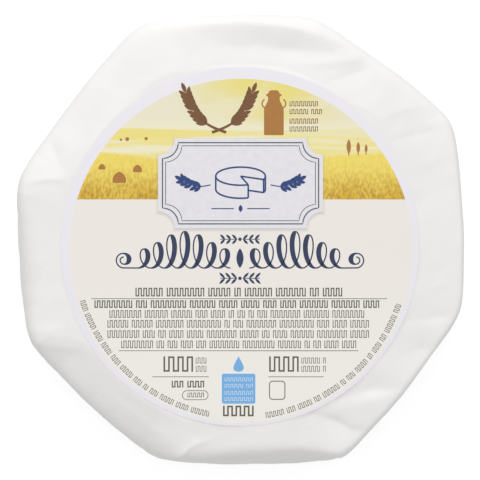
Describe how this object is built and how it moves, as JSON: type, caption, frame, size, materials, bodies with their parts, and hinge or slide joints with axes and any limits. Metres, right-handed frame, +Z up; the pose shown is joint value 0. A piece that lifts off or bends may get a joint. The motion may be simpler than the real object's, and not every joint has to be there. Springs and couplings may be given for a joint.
{
  "type": "double cream brie",
  "caption": "Small flat wheel of soft ripened cheese, shut in a folded white paper wrapper that is a rounded octagon from above, with a round printed label stuck on its flat top.",
  "frame": {"origin": "on the table, under the middle of the wheel", "axes": "+Z up through the flat top, +Y towards the top of the label, +X towards the label's right edge"},
  "size_m": [0.1147, 0.1153, 0.0217],
  "materials": {
    "wrapper_paper": "white coated paper, satin, folded and creased",
    "label_paper": "smooth coated label paper, pale margin and a cream and gold printed field"
  },
  "bodies": {
    "root": {"wrapped_cheese": "wrapper_paper", "top_label": "label_paper"}
  },
  "joints": []
}
